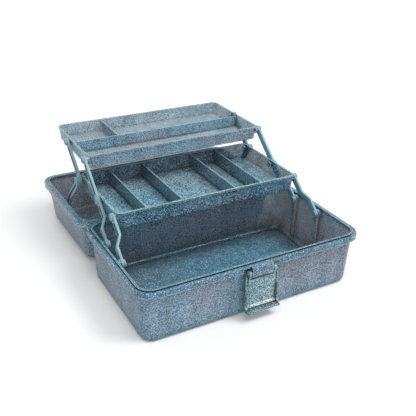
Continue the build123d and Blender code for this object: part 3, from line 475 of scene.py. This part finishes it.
def pin_pattern(radius, head, shaft):
    """A headed pin on the X axis: the head's outer face at 0, with a raised ring and a sunk middle."""
    sizes = settings()[1]
    bpy.ops.object.select_all(action="DESELECT")
    bpy.ops.mesh.primitive_cylinder_add(vertices=40, radius=radius, depth=head,
                                        location=(-head / 2, 0, 0), rotation=(0, math.pi / 2, 0))
    pattern = bpy.context.object
    bpy.ops.object.transform_apply(location=True, rotation=True, scale=True)
    bpy.ops.object.mode_set(mode="EDIT")
    bpy.ops.mesh.select_mode(type="FACE")
    pick_faces(pattern, lambda centre, normal: normal.x > 0.9)
    bpy.ops.mesh.inset(thickness=sizes.pin_ring, depth=0)
    bpy.ops.mesh.inset(thickness=sizes.pin_sink, depth=-sizes.pin_sink)
    bpy.ops.mesh.inset(thickness=(radius - sizes.pin_ring - sizes.pin_sink) * 0.45, depth=0)
    bpy.ops.mesh.inset(thickness=sizes.pin_sink, depth=sizes.pin_sink * 0.6)
    pick_faces(pattern, lambda centre, normal: normal.x < -0.9)
    bpy.ops.mesh.inset(thickness=radius - shaft, depth=0)
    bpy.ops.mesh.extrude_region_move(TRANSFORM_OT_translate={"value": (-head, 0, 0)})
    bpy.ops.object.mode_set(mode="OBJECT")
    bevel_edges(pattern, sizes.arm_edge, 3)
    return pattern


def ringed_pins(node, name, material, inward):
    """Pins with ringed heads in the places of a CAD node's pins."""
    head = PIN_HEAD_DEPTH
    pattern = pin_pattern(PIN_HEAD_RADIUS, head, PIN_SHAFT_RADIUS)
    copies = []
    for low, high in pin_boxes(node):
        side = 1 if low.x > 0 else -1
        facing = -side if inward else side
        face, tip = (high.x, low.x) if facing > 0 else (low.x, high.x)
        copy = pattern.copy()
        copy.data = pattern.data.copy()
        bpy.context.collection.objects.link(copy)
        for vertex in copy.data.vertices:
            if vertex.co.x < -head * 1.5:
                vertex.co.x += 2 * head - abs(face - tip)
            vertex.co.x = face + facing * vertex.co.x
            if facing < 0:
                vertex.co.y = -vertex.co.y
            vertex.co.y += (low.y + high.y) / 2
            vertex.co.z += (low.z + high.z) / 2
        copies.append(copy)
    bpy.data.objects.remove(pattern)
    bpy.ops.object.select_all(action="DESELECT")
    for copy in copies:
        copy.select_set(True)
    bpy.context.view_layer.objects.active = copies[0]
    if len(copies) > 1:
        bpy.ops.object.join()
    piece = bpy.context.object
    piece.name = name
    bpy.ops.object.shade_smooth_by_angle(angle=SMOOTH_ANGLE)
    finish(piece, body_of(node), "arm_plastic", material, node)


class CADDY_OT_case(bpy.types.Operator):
    """Give the base bin and the lid their glitter plastic"""
    bl_idname = "caddy.case"
    bl_label = "Case and lid"

    def execute(self, context):
        colours, _ = settings()
        bands = ((colours.rim, *BASE_RIM), (colours.foot, *BASE_FOOT))
        dress(glitter_plastic("Base glitter plastic", colours.shell, 0.50, 0.24, bands, shade=1.3),
              "base_bin")
        bands = ((colours.rim, *LID_RIM),)
        dress(glitter_plastic("Lid glitter plastic", colours.shell, 0.50, 0.28, bands, shade=0.15,
                              grain=1.4), "lid")
        return {"FINISHED"}


class CADDY_OT_trays(bpy.types.Operator):
    """Give the two trays their glitter plastic"""
    bl_idname = "caddy.trays"
    bl_label = "Trays"

    def execute(self, context):
        colours, _ = settings()
        dress(glitter_plastic("Lower tray plastic", colours.lower_tray, 0.55, 0.32,
                              lit_top=colours.tray_lit_top, shade=0.1, grain=1.4), "lower_tray")
        dress(glitter_plastic("Upper tray plastic", colours.upper_tray, 0.55, 0.36, shade=0.1,
                              grain=1.4), "upper_tray")
        return {"FINISHED"}


class CADDY_OT_arms(bpy.types.Operator):
    """Bevel the arms and links, and model the ringed pivot pins"""
    bl_idname = "caddy.arms"
    bl_label = "Arms and pins"

    def execute(self, context):
        colours, sizes = settings()
        plastic = moulded_plastic("Arm plastic", colours.arm, 0.40, 0.25)
        for node in sorted(frame["nodes"]):
            if "_arm_" in node or (node.startswith("lid_link") and "rivet" not in node):
                stand_in(node, node + "_moulding", "arm_plastic", sizes.arm_edge, plastic)
        ringed_pins("base_pivot_pins", "base_pin_heads", plastic, inward=True)
        ringed_pins("lower_tray_pins", "lower_tray_pin_heads", plastic, inward=False)
        ringed_pins("upper_tray_pins", "upper_tray_pin_heads", plastic, inward=False)
        for side in ("left", "right"):
            ringed_pins("lid_link_rivet_" + side, "lid_link_rivet_head_" + side, plastic, inward=True)
        return {"FINISHED"}


class CADDY_OT_latch(bpy.types.Operator):
    """Bevel the latch and the carrying handle, and give the plain pins their steel"""
    bl_idname = "caddy.latch"
    bl_label = "Latch and handle"

    def execute(self, context):
        colours, sizes = settings()
        bands = ((colours.ridge, *LATCH_RIDGE_HIGHLIGHT), (colours.hook, *LATCH_HOOK_SHADE),
                 (colours.latch, *LATCH_BACK))
        latch = glitter_plastic("Latch glitter plastic", colours.latch, 0.6, 0.08, bands,
                                depth=2.8, shade=0.0, grain=1.2)
        plastic = glitter_plastic("Handle glitter plastic", colours.latch, 0.6, 0.08,
                                  depth=2.8, shade=0.0, grain=1.2)
        stand_in("latch", "latch_moulding", "latch_plastic", sizes.arm_edge * LATCH_BEVEL, latch)
        stand_in("carry_handle", "carry_handle_moulding", "handle_plastic", sizes.arm_edge, plastic)
        dress(brushed_steel("Pin steel", colours.steel), "lid_hinge_pins", "latch_pin", "handle_pins")
        return {"FINISHED"}


def look(eye, yaw, pitch, roll):
    """A camera's matrix from its place and its three angles in degrees."""
    yaw, pitch, roll = (math.radians(a) for a in (yaw, pitch, roll))
    ahead = Vector((math.sin(yaw) * math.cos(pitch), math.cos(yaw) * math.cos(pitch), math.sin(pitch)))
    side = Vector((math.cos(yaw), -math.sin(yaw), 0))
    above = side.cross(ahead)
    right = side * math.cos(roll) + above * math.sin(roll)
    up = above * math.cos(roll) - side * math.sin(roll)
    turn = Matrix((right, up, -ahead)).transposed()
    return Matrix.Translation(eye) @ turn.to_4x4()


class CADDY_OT_stage(bpy.types.Operator):
    """Lay the pale floor and set the lamps and the camera"""
    bl_idname = "caddy.stage"
    bl_label = "Stage"

    def execute(self, context):
        bpy.ops.object.select_all(action="DESELECT")
        bpy.ops.mesh.primitive_plane_add(size=12, location=(0, 2.0, 0))
        floor = context.object
        floor.name = "floor"
        floor.data.materials.append(self.floor_material())
        world = context.scene.world or bpy.data.worlds.new("Studio")
        context.scene.world = world
        world.use_nodes = True
        n = Nodes(world.node_tree)
        back = world.node_tree.nodes["Background"]
        path = n.add("ShaderNodeLightPath").outputs
        seen = n.add("ShaderNodeMath", {0: path["Is Camera Ray"], 1: path["Is Glossy Ray"]},
                     operation="MAXIMUM")
        seen = n.add("ShaderNodeMath", {0: seen.outputs[0], 1: path["Is Transmission Ray"]},
                     operation="MAXIMUM")
        level = n.add("ShaderNodeMapRange", {0: seen.outputs[0], 3: STUDIO_LIGHT, 4: STUDIO_SEEN})
        n.tree.links.new(level.outputs[0], back.inputs["Strength"])
        back.inputs["Color"].default_value = (1, 1, 1, 1)
        for name, place, aim, size, power in LAMPS:
            lamp = bpy.data.lights.new(name, "AREA")
            lamp.shape = "DISK"
            lamp.size = size
            lamp.energy = power
            obj = bpy.data.objects.new(name, lamp)
            context.collection.objects.link(obj)
            obj.location = place
            obj.rotation_euler = (Vector(aim) - Vector(place)).to_track_quat("-Z", "Y").to_euler()
        camera = bpy.data.cameras.new("Camera")
        camera.sensor_width = CAMERA_SENSOR
        camera.lens = CAMERA_LENS
        camera.clip_end = 50
        obj = bpy.data.objects.new("Camera", camera)
        context.collection.objects.link(obj)
        obj.matrix_world = look(CAMERA_EYE, *CAMERA_ANGLES)
        context.scene.camera = obj
        context.scene.view_settings.view_transform = "Standard"
        return {"FINISHED"}

    def floor_material(self):
        material, n, shader = new_material("Pale floor")
        shader.inputs["Base Color"].default_value = (0.9, 0.9, 0.9, 1)
        shader.inputs["Roughness"].default_value = 0.9
        shader.inputs["Specular IOR Level"].default_value = 0.1
        path = n.add("ShaderNodeLightPath").outputs["Is Camera Ray"]
        place = n.add("ShaderNodeNewGeometry").outputs["Position"]
        away = n.add("ShaderNodeVectorMath", {0: place}, operation="LENGTH").outputs["Value"]
        level = n.add("ShaderNodeMapRange", {0: away, 1: 0.4, 2: 3.0, 3: 0.07, 4: 0.75}).outputs[0]
        glow = n.add("ShaderNodeMath", {0: path, 1: level}, operation="MULTIPLY")
        shader.inputs["Emission Color"].default_value = (1, 1, 1, 1)
        n.tree.links.new(glow.outputs[0], shader.inputs["Emission Strength"])
        return material


class CADDY_PT_panel(bpy.types.Panel):
    bl_label = "Craft caddy"
    bl_idname = "CADDY_PT_panel"
    bl_space_type = "VIEW_3D"
    bl_region_type = "UI"
    bl_category = "Caddy"

    def draw(self, context):
        for group in (context.scene.caddy_colours, context.scene.caddy_sizes):
            for key in group.__annotations__:
                self.layout.prop(group, key)
        for operator in OPERATORS:
            self.layout.operator(operator.bl_idname)


OPERATORS = (CADDY_OT_case, CADDY_OT_trays, CADDY_OT_arms, CADDY_OT_latch, CADDY_OT_stage)
CLASSES = (CaddyColours, CaddySizes, *OPERATORS, CADDY_PT_panel)


def register():
    for item in CLASSES:
        bpy.utils.register_class(item)
    bpy.types.Scene.caddy_colours = PointerProperty(type=CaddyColours)
    bpy.types.Scene.caddy_sizes = PointerProperty(type=CaddySizes)


def unregister():
    del bpy.types.Scene.caddy_colours
    del bpy.types.Scene.caddy_sizes
    for item in reversed(CLASSES):
        bpy.utils.unregister_class(item)


def main():
    register()
    bpy.ops.caddy.case()
    bpy.ops.caddy.trays()
    bpy.ops.caddy.arms()
    bpy.ops.caddy.latch()
    bpy.ops.caddy.stage()


if __name__ == "__main__":
    main()
